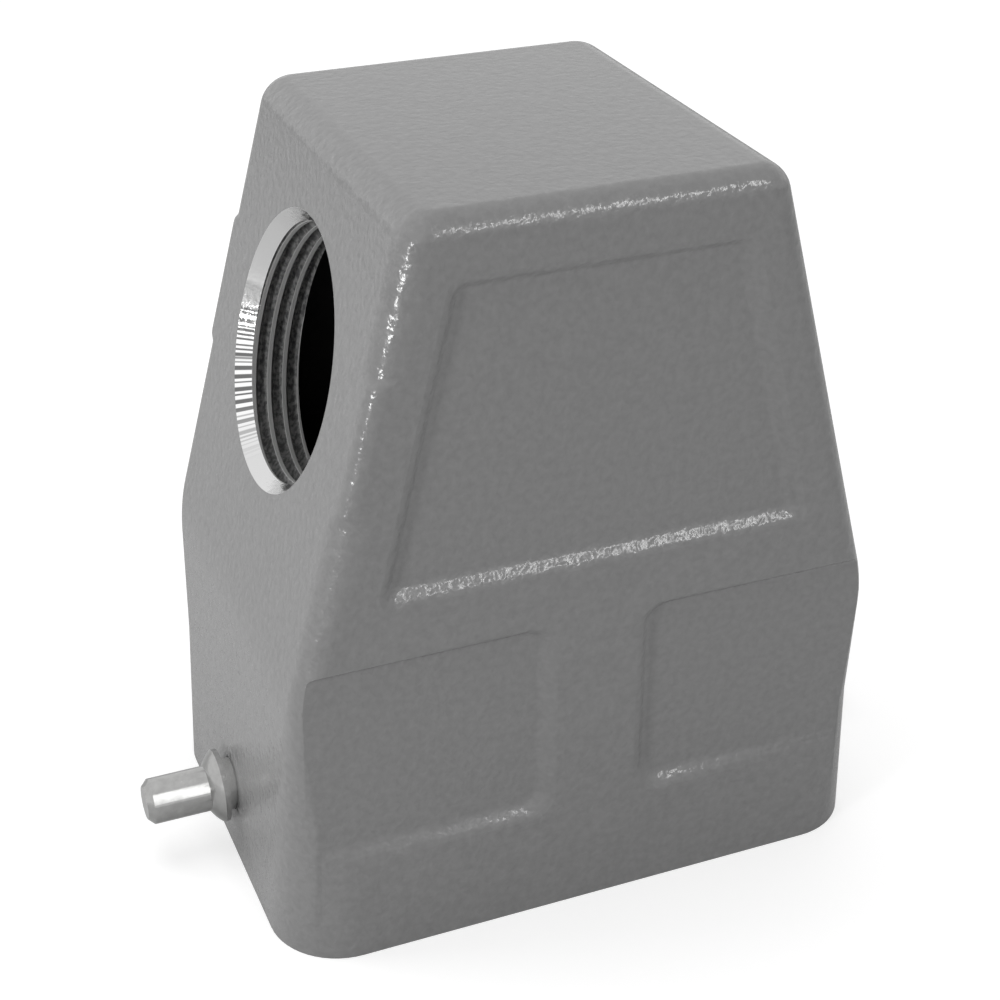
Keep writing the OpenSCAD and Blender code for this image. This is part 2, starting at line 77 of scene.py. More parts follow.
# squared corners beside the entry, and how their ends fade into the round ones, as
# (share of the ramp, corner radius)
PAD_LOW = 46.4
PAD_HIGH = 57.0
PAD_RAMP = 1.3
PAD_RADIUS = 1.6
PAD_EASE = 0.12
PAD_FADE = (
    (1.0, SLOPE_RADIUS),
    (0.7, SLOPE_RADIUS - PAD_EASE),
    (0.3, PAD_RADIUS + PAD_EASE),
    (0.0, PAD_RADIUS),
)

# cavity, with the rounding under its ceiling
WALL = 2.6
ROOF = 3.0
CAVITY_RADIUS = 2.4
CEILING_RADIUS = 1.5
CEILING_STEP = 0.5  # height of the last step of the rounding
CEILING_DRAW = 0.6  # how much the width has drawn in before that step

# recessed panels: how deep, and how far each edge runs in from mouth to floor
PANEL_DEPTH = 0.9
MOUTH_BEVEL = 0.55
FLOOR_BEVEL = 0.45
LEDGE = 1.2
LOW_PANEL = (11.0, 31.6)
LOW_START = 4.25  # half the post between the two lower panels
LOW_STEP = 0.6
LOW_SIDE = 1.0
LOW_CORNER = 1.8
LOW_PAST_END = 4.0
UP_PANEL = (37.2, 65.5)
UP_FOOT = 20.3  # half the panel's length at its foot
UP_HEAD = 13.4  # and at its head
UP_STEP = 1.0
UP_FOOT_SIDE = 1.3
UP_HEAD_SIDE = 0.9
UP_CORNER = 0.8

# a panel's cutter: a block from ahead of the wall, and a lid that lies over its mouth
AHEAD = 0.4
LID_GAP = 0.02
LID_FRONT = 2.5
LID_EDGE = 1.6
FLAT = 0.9  # a face whose normal has more of Y than this looks along Y

# cable entry in the end face at the low end of X; depths run in from that face
ENTRY_HEIGHT = 52.2
ENTRY_CREST = 11.7  # radius of the thread's crests
ENTRY_MOUTH = 12.65  # radius of the chamfer's outer edge
ENTRY_CHAMFER = 1.35
ENTRY_DEPTH = 6.0
BOSS_RADIUS = 14.9
BOSS_START = 1.2
BORE_PAST = 2.0  # how far the bore's cutter passes through at both ends
THREAD_PITCH = 1.5
THREAD_ROOT = 12.5
THREAD_FLANK = math.radians(30)
THREAD_LAND = 0.25  # share of the pitch that is flat crest
THREAD_TURNS = 12
THREAD_START = 0.73  # height of the groove, which sets where it comes out of the chamfer
THREAD_PAST = 0.6
SLEEVE_INTO_WALL = 0.03
SLEEVE_PROUD = 0.015
CHAMFER_PAST = 0.4
CHAMFER_AHEAD = 1.0

# holes for the pegs, and posts for the fixing screws, from the insert's seat upwards
PEG_HEIGHT = 6.85
PEG_HOLE = 2.65
SEAT = 20.0
POST_TOP = 35.0
POST_RADIUS = 4.0
SCREW_X = 22.0
SCREW_Y = 13.5
SCREW_HOLE = 2.0
SCREW_TOP = 33.0  # height at which a screw's hole ends
POST_INTO_WALL = 0.65  # how far a post runs into the long wall
POST_COVER = 0.43  # what the end wall leaves over it at its top

CUT_PAST = 1.0  # how far a cutter starts below what it cuts

# how finely round shapes are cut up
ROUND_SIDES = 96
POST_SIDES = 48
HOLE_SIDES = 32
OUTSIDE_SEGMENTS = 14
CAVITY_SEGMENTS = 4
BELT_STEPS = 6
TOP_STEPS = 9
CORNER_SEGMENTS = 6
MOUTH_SEGMENTS = 4
FLOOR_SEGMENTS = 3

LEVEL = 0.001  # points as near as this count as level
MERGE = 0.002  # points as near as this are merged


def half_length(z):
    """Distance from the middle to an end face at one height."""
    if z < BELT_HEIGHT:
        return (RIM_LENGTH + (BELT_LENGTH - RIM_LENGTH) * z / BELT_HEIGHT) / 2
    return BELT_LENGTH / 2 - (z - BELT_HEIGHT) * math.tan(SLOPE)


def half_width(z):
    """Distance from the middle to a long side at one height."""
    share = max(0.0, (z - BELT_HEIGHT) / (HEIGHT - BELT_HEIGHT))
    return (RIM_WIDTH + (TOP_WIDTH - RIM_WIDTH) * share) / 2


# ---------- modelling helpers ----------

SIGNS = [(x, y, z) for x in (-1, 1) for y in (-1, 1) for z in (-1, 1)]


def only(piece):
    """Selects one piece and nothing else."""
    bpy.ops.object.select_all(action="DESELECT")
    bpy.context.view_layer.objects.active = piece
    piece.select_set(True)


def begin(add, name, **settings):
    """Adds a primitive as a new object, with nothing else selected."""
    bpy.ops.object.select_all(action="DESELECT")
    add(**settings)
    bpy.ops.object.transform_apply(location=True, rotation=True, scale=True)
    made = bpy.context.object
    made.name = made.data.name = name
    return made


def edit(piece):
    """Puts one piece in edit mode with nothing of it selected."""
    only(piece)
    bpy.ops.object.mode_set(mode="EDIT")
    bpy.ops.mesh.select_mode(type="VERT")
    bpy.ops.mesh.select_all(action="DESELECT")


def leave():
    """Goes back to object mode."""
    bpy.ops.object.mode_set(mode="OBJECT")


def pick(kind, test):
    """Selects the verts, edges or faces of the edited mesh that pass the test."""
    mode = {"verts": "VERT", "edges": "EDGE", "faces": "FACE"}[kind]
    bpy.ops.mesh.select_mode(type=mode)
    bpy.ops.mesh.select_all(action="DESELECT")
    mesh = bmesh.from_edit_mesh(bpy.context.object.data)
    for part in getattr(mesh, kind):
        if test(part):
            part.select_set(True)
    mesh.select_flush_mode()
    bmesh.update_edit_mesh(bpy.context.object.data)


def at_level(part, level, axis=2):
    """Whether every corner of an edge or a face lies at one level of an axis."""
    return all(abs(v.co[axis] - level) < LEVEL for v in part.verts)


def modify(piece, kind, **settings):
    """Adds a modifier with its settings and applies it."""
    only(piece)
    modifier = piece.modifiers.new(kind.lower(), kind)
    for name, value in settings.items():
        setattr(modifier, name, value)
    bpy.ops.object.modifier_apply(modifier=modifier.name)


def combine(piece, tool, operation):
    """Adds a tool's solid to a piece or takes it away, and removes the tool."""
    modify(
        piece, "BOOLEAN", object=tool, operation=operation, solver="EXACT",
        material_mode="TRANSFER",
    )
    bpy.data.objects.remove(tool)


def clean(piece):
    """Merges doubles and turns every face outwards."""
    edit(piece)
    bpy.ops.mesh.select_all(action="SELECT")
    bpy.ops.mesh.remove_doubles(threshold=MERGE)
    bpy.ops.mesh.normals_make_consistent(inside=False)
    leave()


def place(piece, turn=(0, 0, 0), move=(0, 0, 0), scale=(1, 1, 1)):
    """Turns, moves and scales a piece and puts its place into its mesh."""
    only(piece)
    piece.rotation_euler = turn
    piece.location = move
    piece.scale = scale
    bpy.ops.object.transform_apply(location=True, rotation=True, scale=True)


def mirrored(piece, scale):
    """Copy of a piece, with a mesh of its own, mirrored through the middle."""
    twin = piece.copy()
    twin.data = piece.data.copy()
    bpy.context.scene.collection.objects.link(twin)
    place(twin, scale=scale)
    clean(twin)
    return twin


def to_entry(piece):
    """Moves a piece made on the Z axis, with the end face at z = 0, to the cable entry."""
    place(
        piece, (0, SLOPE - math.pi / 2, 0), (-half_length(ENTRY_HEIGHT), 0, ENTRY_HEIGHT)
    )


def smooth(piece, degrees):
    """Shades a piece smooth, but for edges sharper than an angle."""
    only(piece)
    bpy.ops.object.shade_smooth_by_angle(angle=math.radians(degrees))


def loft(name, rings, segments):
    """Solid through rounded rectangles given as (height, length, width, corner radius,
    corner radius on the entry side)."""
    made = begin(bpy.ops.mesh.primitive_plane_add, name, size=1)
    edit(made)
    bpy.ops.mesh.select_all(action="SELECT")
    bpy.ops.mesh.delete(type="VERT")
    for z, length, width, radius, entry_radius in rings:
        bpy.ops.mesh.primitive_plane_add(size=1, location=(0, 0, z))
        bpy.ops.transform.resize(value=(length, width, 1), center_override=(0, 0, z))
        for side, offset in ((1, radius), (-1, entry_radius)):
            end = length / 2 - LEVEL
            pick("verts", lambda v: abs(v.co.z - z) < LEVEL and v.co.x * side > end)
            bpy.ops.mesh.bevel(offset=offset, segments=segments, affect="VERTICES")
        pick("faces", lambda f: at_level(f, z))
        bpy.ops.mesh.delete(type="ONLY_FACE")
    bpy.ops.mesh.select_all(action="SELECT")
    bpy.ops.mesh.bridge_edge_loops()
    for ring in (rings[0], rings[-1]):
        pick("edges", lambda e: at_level(e, ring[0]))
        bpy.ops.mesh.edge_face_add()
    leave()
    clean(made)
    return made


def corner_block(name, corners):
    """Block with eight corners, keyed by their signs along X, Y and Z."""
    made = begin(bpy.ops.mesh.primitive_cube_add, name, size=2)
    edit(made)
    for sign, corner in corners.items():
        pick("verts", lambda v: (v.co - Vector(sign)).length < LEVEL)
        bpy.ops.transform.translate(value=Vector(corner) - Vector(sign))
    leave()
    return made


def box(name, low, high):
    """Block between its lowest and highest corner."""
    ends = {-1: low, 1: high}
    return corner_block(
        name, {(x, y, z): (ends[x][0], ends[y][1], ends[z][2]) for x, y, z in SIGNS}
    )


def slab(name, front, front_y, back, back_y):
    """Block between two outlines across Y, with corners keyed by their signs along X, Z."""
    ends = {-1: (front, front_y), 1: (back, back_y)}
    corners = {}
    for x, y, z in SIGNS:
        outline, depth = ends[y]
        corners[(x, y, z)] = (outline[(x, z)].x, depth, outline[(x, z)].y)
    return corner_block(name, corners)


def disc(name, radius, low, high, top_radius=None, sides=ROUND_SIDES):
    """Round solid on the Z axis, tapered where a top radius is given."""
    return begin(
        bpy.ops.mesh.primitive_cone_add, name, vertices=sides, radius1=radius,
        radius2=radius if top_radius is None else top_radius,
        depth=high - low, location=(0, 0, (low + high) / 2),
    )


# ---------- the hood's casting ----------


def pocket(name, mouth, floor, corner):
    """Cutter of a recessed panel in the plane y = 0. Mouth and floor are its outlines, by
    the signs of their corners along X and Z. It gets the soft edges of a casting: the
    lid over the mouth holds the bevel that flares it."""

    def outline(share, grow=0.0):
        """Outline at a share of the way from mouth to floor, grown outwards."""
        between = {}
        for sign in mouth:
            start, end = Vector(mouth[sign]), Vector(floor[sign])
            between[sign] = start + (end - start) * share + Vector(sign) * grow
        return between

    block = slab(name, outline(-AHEAD / PANEL_DEPTH), -AHEAD, outline(1), PANEL_DEPTH)
    edit(block)
    pick("edges", lambda e: abs(e.verts[0].co.y - e.verts[1].co.y) > PANEL_DEPTH)
    bpy.ops.mesh.bevel(offset=corner, segments=CORNER_SEGMENTS)
    leave()
    cover = outline(0, LID_EDGE)
    lid = slab(name, cover, -LID_FRONT, cover, -LID_GAP)
    combine(lid, block, "UNION")
    clean(lid)

    def on_mouth(e):
        """Whether an edge is where the lid's back meets the block, not a lid's own."""
        beyond = (f for f in e.link_faces if f.calc_center_median().y > 0)
        return at_level(e, -LID_GAP, axis=1) and any(f.normal.y < FLAT for f in beyond)

    edit(lid)
    pick("edges", on_mouth)
    bpy.ops.mesh.bevel(offset=MOUTH_BEVEL, segments=MOUTH_SEGMENTS)
    pick("edges", lambda e: at_level(e, PANEL_DEPTH, axis=1))
    bpy.ops.mesh.bevel(offset=FLOOR_BEVEL, segments=FLOOR_SEGMENTS)
    leave()
    clean(lid)
    return lid


def upper_pocket():
    """Cutter of the tapered upper panel in the front long side."""
    tall = UP_PANEL[1] - UP_PANEL[0]
    mouth, floor = {}, {}
    for x in (-1, 1):
        mouth[(x, -1)] = (x * UP_FOOT, 0)
        mouth[(x, 1)] = (x * UP_HEAD, tall)
        floor[(x, -1)] = (x * (UP_FOOT - UP_FOOT_SIDE), LEDGE)
        floor[(x, 1)] = (x * (UP_HEAD - UP_HEAD_SIDE), tall - UP_STEP)
    made = pocket("upper_pocket", mouth, floor, UP_CORNER)
    place(made, (-DRAFT, 0, 0), (0, -half_width(UP_PANEL[0]), UP_PANEL[0]))
    return made


def lower_pocket():
    """Cutter of the lower panel at the far end of the front side, open at the hood's end."""
    past_end = RIM_LENGTH / 2 + LOW_PAST_END
    mouth, floor = {}, {}
    for z, level, lift in ((-1, LOW_PANEL[0], LEDGE), (1, LOW_PANEL[1], -LOW_STEP)):
        mouth[(-1, z)] = (LOW_START, level)
        mouth[(1, z)] = (past_end, level)
        floor[(-1, z)] = (LOW_START + LOW_SIDE, level + lift)
        floor[(1, z)] = (past_end, level + lift)
    made = pocket("lower_pocket", mouth, floor, LOW_CORNER)
    place(made, move=(0, -half_width(0), 0))
    return made


def shell_level(z, radius, inset=0.0, entry_radius=None):
    """Ring of the outside at one height, drawn in by an inset, for a loft."""
    own = max(radius - inset, LEAST_RADIUS)
    return (
        z, 2 * (half_length(z) - inset), 2 * (half_width(z) - inset),
        own, own if entry_radius is None else entry_radius,
    )


def hood_outside():
    """Lofted outside: round corners that tighten up to the belt, then the sloping ends,
    squared up beside the entry, and the rounded edges of the top."""
    rings = [shell_level(0, RIM_RADIUS), shell_level(BASE_HEIGHT, BASE_RADIUS)]
    low, high = BELT_HEIGHT - BELT_SOFT, BELT_HEIGHT + BELT_SOFT
    share = (low - BASE_HEIGHT) / (BELT_HEIGHT - BASE_HEIGHT)
    low_radius = BASE_RADIUS + (BELT_RADIUS - BASE_RADIUS) * share
    for i in range(BELT_STEPS + 1):
        t = i / BELT_STEPS
        z = low + (high - low) * t
        shares = ((1 - t) ** 2, 2 * t * (1 - t), t * t)
        bend = sum(a * half_length(b) for a, b in zip(shares, (low, BELT_HEIGHT, high)))
        soft = sum(a * b for a, b in zip(shares, (low_radius, BELT_RADIUS, SLOPE_RADIUS)))
        rings.append((z, 2 * bend, 2 * half_width(z), soft, soft))
    for share, radius in PAD_FADE:
        rings.append(shell_level(PAD_LOW - PAD_RAMP * share, SLOPE_RADIUS, 0.0, radius))
    for share, radius in reversed(PAD_FADE):
        rings.append(shell_level(PAD_HIGH + PAD_RAMP * share, SLOPE_RADIUS, 0.0, radius))
    for i in range(TOP_STEPS + 1):
        a = math.pi / 2 * i / TOP_STEPS
        z = HEIGHT - TOP_RADIUS * (1 - math.sin(a))
        rings.append(shell_level(z, SLOPE_RADIUS, TOP_RADIUS * (1 - math.cos(a))))
    return loft("hood_casting", rings, OUTSIDE_SEGMENTS)


def hood_cavity():
    """Solid of the hollow inside, straight up to the belt and tapered above it."""
    roof = HEIGHT - ROOF
    mouth = (BELT_LENGTH - 2 * WALL, RIM_WIDTH - 2 * WALL, CAVITY_RADIUS, CAVITY_RADIUS)
    length = 2 * (half_length(roof) - WALL / math.cos(SLOPE))
    width = 2 * half_width(roof) - 2 * WALL
    soft = CEILING_RADIUS
    return loft(
        "cavity",
        [
            (-CUT_PAST, *mouth),
            (BELT_HEIGHT, *mouth),
            (roof - soft, length + 2 * soft * math.tan(SLOPE), width, soft, soft),
            (roof - CEILING_STEP, length, width - CEILING_DRAW, soft, soft),
            (roof, length - soft, width - soft - CEILING_DRAW, soft, soft),
        ],
        CAVITY_SEGMENTS,
    )


def corner_post():
    """Post in a corner of the casting, run into both walls, that takes a fixing screw."""
    x_end = half_length(POST_TOP) - POST_COVER
    y_end = RIM_WIDTH / 2 - WALL + POST_INTO_WALL
    made = disc("corner_post", POST_RADIUS, SEAT, POST_TOP, sides=POST_SIDES)
    place(made, move=(SCREW_X, SCREW_Y, 0))
    for start in (
        (SCREW_X - POST_RADIUS, SCREW_Y, SEAT), (SCREW_X, SCREW_Y - POST_RADIUS, SEAT)
    ):
        combine(made, box("web", start, (x_end, y_end, POST_TOP)), "UNION")
    return made


def screw_hole():
    """Cutter of the hole for a fixing screw in its post."""
    made = disc("screw_hole", SCREW_HOLE, SEAT - CUT_PAST, SCREW_TOP, sides=HOLE_SIDES)
    place(made, move=(SCREW_X, SCREW_Y, 0))
    return made


def build_hood(paint, inside):
    """The whole casting, painted outside, and near black inside as painted shade."""
    hood = hood_outside()
    hood.data.materials.append(paint)
    panels = [upper_pocket(), lower_pocket()]
    panels.append(mirrored(panels[1], (-1, 1, 1)))
    panels += [mirrored(panel, (1, -1, 1)) for panel in panels]
    for panel in panels:
        panel.data.materials.append(paint)
        combine(hood, panel, "DIFFERENCE")
    cavity = hood_cavity()
    # the cavity, corner posts, screw holes and entry boss take the near-black inside finish,
    # which is painted shade of the hollow
    cavity.data.materials.append(inside)
    combine(hood, cavity, "DIFFERENCE")
    for made, operation in ((corner_post(), "UNION"), (screw_hole(), "DIFFERENCE")):
        made.data.materials.append(inside)
        for side in ((-1, -1, 1), (-1, 1, 1), (1, -1, 1)):
            combine(hood, mirrored(made, side), operation)
        combine(hood, made, operation)
    boss = disc("entry_boss", BOSS_RADIUS, -ENTRY_DEPTH, -BOSS_START)
    bore = disc("entry_bore", ENTRY_MOUTH, -ENTRY_DEPTH - BORE_PAST, BORE_PAST)
    for made, operation in ((boss, "UNION"), (bore, "DIFFERENCE")):
        to_entry(made)
        made.data.materials.append(inside)
        combine(hood, made, operation)
    hole = disc("peg_hole", PEG_HOLE, -RIM_LENGTH, RIM_LENGTH, sides=HOLE_SIDES)
    place(hole, (0, math.pi / 2, 0), (0, 0, PEG_HEIGHT))
    hole.data.materials.append(paint)
    combine(hood, hole, "DIFFERENCE")
    clean(hood)
    smooth(hood, degrees=46)
    modify(hood, "WEIGHTED_NORMAL", mode="FACE_AREA", keep_sharp=True)
    place(hood, scale=(MM, MM, MM))
    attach(hood, "root")
    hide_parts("hood")


# ---------- entry thread ----------


def thread_tap():
    """Rod with a right-hand thread on it, that cuts the thread behind the chamfer."""
    flank = (THREAD_ROOT - ENTRY_CREST) * math.tan(THREAD_FLANK)
    land = THREAD_PITCH * THREAD_LAND
    profile = [
        Vector((ENTRY_CREST, 0, 0)), Vector((ENTRY_CREST, 0, land)),
        Vector((THREAD_ROOT, 0, land + flank)), Vector((THREAD_ROOT, 0, THREAD_PITCH - flank)),
        Vector((ENTRY_CREST, 0, THREAD_PITCH)),
    ]
    rod = begin(bpy.ops.mesh.primitive_plane_add, "thread_tap", size=1)
    edit(rod)
    bpy.ops.mesh.select_all(action="SELECT")
    bpy.ops.mesh.merge(type="CENTER")
    bpy.ops.transform.translate(value=profile[0])
    for start, end in zip(profile, profile[1:]):
        bpy.ops.mesh.extrude_verts_indiv()
        bpy.ops.transform.translate(value=end - start)
    leave()
    modify(
        rod, "SCREW", axis="Z", angle=2 * math.pi, screw_offset=THREAD_PITCH,
        iterations=THREAD_TURNS, steps=ROUND_SIDES, render_steps=ROUND_SIDES,
        use_merge_vertices=True, merge_threshold=LEVEL, use_smooth_shade=False,
    )
    clean(rod)
    place(rod, move=(0, 0, THREAD_START - THREAD_TURNS * THREAD_PITCH / 2))
    edit(rod)
    for level, outer in ((-ENTRY_DEPTH - THREAD_PAST, False), (-ENTRY_CHAMFER, True)):
        bpy.ops.mesh.select_all(action="SELECT")
        bpy.ops.mesh.bisect(
            plane_co=(0, 0, level), plane_no=(0, 0, 1), use_fill=True,
            clear_outer=outer, clear_inner=not outer,
        )
    bpy.ops.mesh.select_all(action="SELECT")
    bpy.ops.mesh.normals_make_consistent(inside=False)
    leave()
    return rod


def build_thread(metal):
    """Machined entry: lead-in chamfer and a right-hand thread, bare metal."""
    sleeve = disc(
        "entry_thread", ENTRY_MOUTH + SLEEVE_INTO_WALL, -ENTRY_DEPTH, SLEEVE_PROUD
    )
    combine(sleeve, thread_tap(), "DIFFERENCE")
    flare = (ENTRY_MOUTH - ENTRY_CREST) / ENTRY_CHAMFER
    chamfer = disc(
        "chamfer", ENTRY_CREST - CHAMFER_PAST * flare, -ENTRY_CHAMFER - CHAMFER_PAST,
        CHAMFER_AHEAD, ENTRY_MOUTH + CHAMFER_AHEAD * flare,
    )
    combine(sleeve, chamfer, "DIFFERENCE")
    clean(sleeve)
    smooth(sleeve, degrees=25)
    sleeve.data.materials.clear()
    sleeve.data.materials.append(metal)
    to_entry(sleeve)
    place(sleeve, scale=(MM, MM, MM))
    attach(sleeve, "root")


# ---------- finishes ----------


def colour(text):
    """sRGB hex to the linear colour that Blender works in."""
    parts = [int(text[i:i + 2], 16) / 255 for i in (1, 3, 5)]
    return tuple(
        p / 12.92 if p <= 0.04045 else ((p + 0.055) / 1.055) ** 2.4 for p in parts
    ) + (1.0,)


def add_node(tree, kind, sockets=None, **settings):
    """Adds a node, sets it up, and fills its sockets with values or with links."""
    made = tree.nodes.new(kind)
    for name, value in settings.items():
        setattr(made, name, value)
    for name, value in (sockets or {}).items():
        if isinstance(value, bpy.types.NodeSocket):
            tree.links.new(value, made.inputs[name])
        else:
            made.inputs[name].default_value = value
    return made


def finish_named(name):
    """A material with its tree, its shader and object coordinates in millimetres."""
    made = bpy.data.materials.new(name)
    made.use_nodes = True
    tree = made.node_tree
    shader = tree.nodes["Principled BSDF"]
    place_in = add_node(tree, "ShaderNodeTexCoord")
    scaled = add_node(
        tree, "ShaderNodeMapping",
        {"Vector": place_in.outputs["Object"], "Scale": (1 / MM, 1 / MM, 1 / MM)},
    )
    return made, tree, shader, scaled.outputs["Vector"]


def grey_powder_coat():
    """Semi-gloss polyester powder coat over die-cast aluminium, stoved.
    The eye sees a mid grey with an orange-peel ripple that breaks each highlight into
    sparks; it levels out on the flat top, where the melted powder can run."""
    made, tree, shader, at = finish_named("grey_powder_coat")
    # ripple of the melted powder: crowns about 0.7 mm apart
    ripple = add_node(
        tree, "ShaderNodeTexNoise",
        {"Vector": at, "Scale": 1.4, "Detail": 1.0, "Roughness": 0.5, "Distortion": 0.2},
    )
    # fine grain of the powder, about 0.3 mm
    grain = add_node(
        tree, "ShaderNodeTexNoise", {"Vector": at, "Scale": 3.2, "Detail": 1.0}
    )
    # less than half the ripple where a face looks straight up
    facing = add_node(tree, "ShaderNodeTexCoord")
    upward = add_node(tree, "ShaderNodeSeparateXYZ", {"Vector": facing.outputs["Normal"]})
    levelled = add_node(
        tree, "ShaderNodeMapRange",
        {
            "Value": upward.outputs["Z"], "From Min": 0.7, "From Max": 0.98,
            "To Min": 0.6, "To Max": 0.26,
        },
    )
    # at full strength the ripple is 0.16 mm high and the grain 0.03 mm
    coarse = add_node(
        tree, "ShaderNodeBump",
        {
            "Height": ripple.outputs["Fac"], "Strength": levelled.outputs["Result"],
            "Distance": 0.16 * MM,
        },
    )
    fine = add_node(
        tree, "ShaderNodeBump",
        {
            "Height": grain.outputs["Fac"], "Strength": levelled.outputs["Result"],
            "Distance": 0.03 * MM, "Normal": coarse.outputs["Normal"],
        },
    )
    # painted shade: the colour follows the ripple's height, darker in its hollows and lighter
    # on its crowns, in place of the ripple's own shading
    shade = add_node(
        tree, "ShaderNodeMix",
        {"Factor": ripple.outputs["Fac"], "A": colour("#787878"), "B": colour("#888888")},
        data_type="RGBA",
    )
    tree.links.new(fine.outputs["Normal"], shader.inputs["Normal"])
    tree.links.new(shade.outputs["Result"], shader.inputs["Base Color"])
    shader.inputs["Roughness"].default_value = 0.2
    shader.inputs["IOR"].default_value = 1.5
    return made


def painted_shade_inside():
    """Inside of the casting: near black as painted shade of the hollow, on a rough as-cast
    skin with a dull, uneven sheen."""
    made, tree, shader, at = finish_named("as_cast_inside_painted_shade")
    # pits and flow marks of the casting skin, about 0.7 mm apart
    skin = add_node(
        tree, "ShaderNodeTexNoise", {"Vector": at, "Scale": 1.4, "Detail": 3.0}
    )
    bump = add_node(
        tree, "ShaderNodeBump",
        {"Height": skin.outputs["Fac"], "Strength": 0.5, "Distance": 0.1 * MM},
    )
    # painted shade: near black in place of the shade in the hollow, varied a little by the
    # skin
    shade = add_node(
        tree, "ShaderNodeMix",
        {"Factor": skin.outputs["Fac"], "A": colour("#101011"), "B": colour("#1a1a1b")},
        data_type="RGBA",
    )
    tree.links.new(bump.outputs["Normal"], shader.inputs["Normal"])
    tree.links.new(shade.outputs["Result"], shader.inputs["Base Color"])
    shader.inputs["Roughness"].default_value = 0.6
    return made


def machined_aluminium():
    """Die-cast aluminium cut by a tap and a countersink: bright, with chatter bars across part
    of the chamfer that are painted as light and dark stripes, a painted reflection, and a
    thread that is dulled by oil and swarf, with painted highlights on its crests."""
    made, tree, shader, at = finish_named("machined_cast_aluminium")
    # the entry's own axes: Z out of the end face, X up the slope, in millimetres
    own = add_node(
        tree, "ShaderNodeMapping",
        {
            "Vector": at, "Location": (-half_length(ENTRY_HEIGHT), 0, ENTRY_HEIGHT),
            "Rotation": (0, SLOPE - math.pi / 2, 0),
        },
        vector_type="TEXTURE",
    )
    axes = add_node(tree, "ShaderNodeSeparateXYZ", {"Vector": own.outputs["Vector"]})
    across = add_node(
        tree, "ShaderNodeCombineXYZ", {"X": axes.outputs["X"], "Y": axes.outputs["Y"]}
    )
    radius = add_node(
        tree, "ShaderNodeVectorMath", {0: across.outputs["Vector"]}, operation="LENGTH"
    )
    # share of a turn: 0.5 at the top of the slope, 0.75 at the far side
    turn = add_node(
        tree, "ShaderNodeTexGradient", {"Vector": own.outputs["Vector"]},
        gradient_type="RADIAL",
    )
    # chatter of the countersink: bars about 0.8 mm apart, from 190 noise cells to a turn; they
    # are painted as stripes, a painted reflection of facets that turn to a lamp or to the dark
    cells = add_node(
        tree, "ShaderNodeMath", {0: turn.outputs["Fac"], 1: 190.0}, operation="MULTIPLY"
    )
    bars = add_node(
        tree, "ShaderNodeTexNoise", {"W": cells.outputs["Value"], "Scale": 1.0, "Detail": 0.0},
        noise_dimensions="1D",
    )
    # blotches that swarf and oil leave, about 0.4 mm
    blotches = add_node(
        tree, "ShaderNodeTexNoise", {"Vector": at, "Scale": 2.4, "Detail": 3.0}
    )
    # soft steps as (what is read, from, to, value before, value after): the stretch with
    # chatter and the dark streak ahead of it by their share of a turn, both painted
    # reflection, the thread by its depth, and the crests with their painted highlight by their
    # radius
    ramps = {}
    for name, read, low, high, before, after in (
        ("chatter_in", turn.outputs["Fac"], 0.755, 0.763, 0.0, 1.0),
        ("chatter_out", turn.outputs["Fac"], 0.872, 0.971, 1.0, 0.0),
        ("painted_streak_in", turn.outputs["Fac"], 0.722, 0.732, 0.0, 1.0),
        ("painted_streak_out", turn.outputs["Fac"], 0.745, 0.756, 1.0, 0.0),
        ("bar", bars.outputs["Fac"], 0.42, 0.56, 0.0, 1.0),
        ("blotch", blotches.outputs["Fac"], 0.35, 0.65, 0.0, 1.0),
        ("thread", axes.outputs["Z"], -ENTRY_CHAMFER - 0.05, -ENTRY_CHAMFER + 0.05, 1.0, 0.0),
        ("flank", radius.outputs["Value"], ENTRY_CREST + 0.02, ENTRY_CREST + 0.06, 0.0, 1.0),
    ):
        ramp = add_node(
            tree, "ShaderNodeMapRange",
            {
                "Value": read, "From Min": low, "From Max": high,
                "To Min": before, "To Max": after,
            },
            interpolation_type="SMOOTHSTEP",
        )
        ramps[name] = ramp.outputs["Result"]
    where = add_node(
        tree, "ShaderNodeMath", {0: ramps["chatter_in"], 1: ramps["chatter_out"]},
        operation="MULTIPLY",
    )
    chatter = add_node(
        tree, "ShaderNodeMath", {0: ramps["bar"], 1: where.outputs["Value"]},
        operation="MULTIPLY",
    )
    # painted dark streak on the chamfer, a painted reflection
    painted_streak = add_node(
        tree, "ShaderNodeMath", {0: ramps["painted_streak_in"], 1: ramps["painted_streak_out"]},
        operation="MULTIPLY",
    )
    # the painted dark streak is half as dark as a bar
    faint_painted_streak = add_node(
        tree, "ShaderNodeMath", {0: painted_streak.outputs["Value"], 1: 0.5}, operation="MULTIPLY"
    )
    # the painted dark bars and the painted dark streak together
    marks = add_node(
        tree, "ShaderNodeMath", {0: chatter.outputs["Value"], 1: faint_painted_streak.outputs["Value"]},
        operation="MAXIMUM",
    )
    # chamfer: painted white over the chattered stretch and dark in the bars and the streak, as
    # painted reflection of a lamp and of the dark
    painted_glint = add_node(
        tree, "ShaderNodeMix",
        {"Factor": where.outputs["Value"], "A": colour("#dadada"), "B": colour("#ffffff")},
        data_type="RGBA",
    )
    chamfer_shade = add_node(
        tree, "ShaderNodeMix",
        {
            "Factor": marks.outputs["Value"], "A": painted_glint.outputs["Result"],
            "B": colour("#747474"),
        },
        data_type="RGBA",
    )
